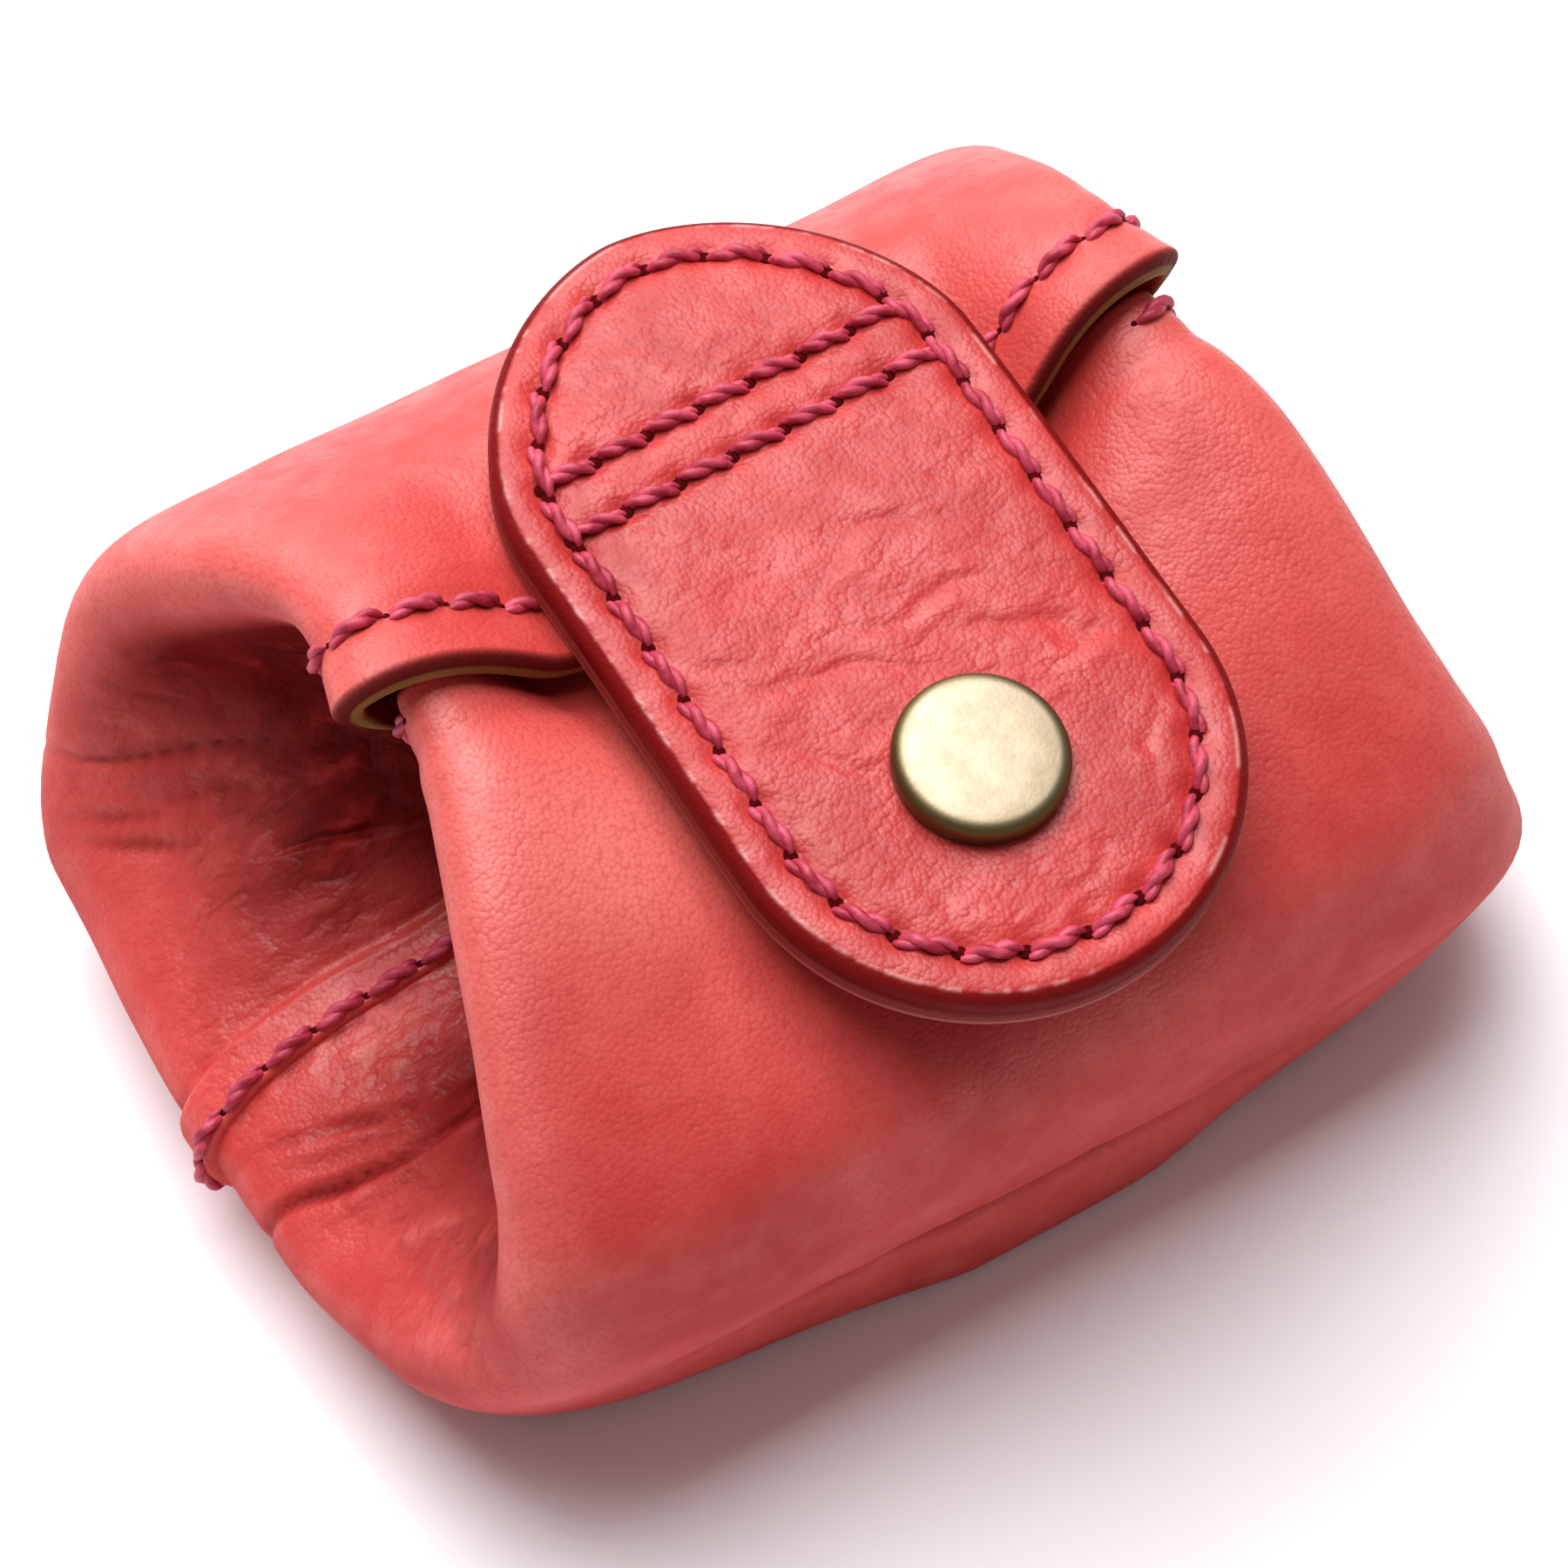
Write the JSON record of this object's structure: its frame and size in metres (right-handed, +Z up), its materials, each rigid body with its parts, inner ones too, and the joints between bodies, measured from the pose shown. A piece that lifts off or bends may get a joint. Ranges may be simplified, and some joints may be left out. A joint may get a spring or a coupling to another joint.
{
  "type": "snap wallet",
  "caption": "Small soft leather coin purse with tucked-in sides, a folded mouth and a round-ended tab that closes with a brass snap.",
  "frame": {"origin": "on the surface the purse stands on, under the middle of its whole extent", "axes": "+X along the purse's width, to the right seen from the front; -Y out of the front; +Z up"},
  "size_m": [0.0814, 0.062, 0.0434],
  "materials": {
    "body_leather": "soft coral-red grained leather, satin",
    "tab_leather": "coral-red wrinkled leather, satin",
    "backing_leather": "dark red leather with a brown-pink cut edge",
    "snap_brass": "pale antique brass, satin"
  },
  "bodies": {
    "root": {"front_panel": "body_leather", "back_panel": "body_leather", "tab_outer": "tab_leather", "tab_backing": "backing_leather", "snap_cap": "snap_brass", "snap_stud": "snap_brass"}
  },
  "joints": []
}
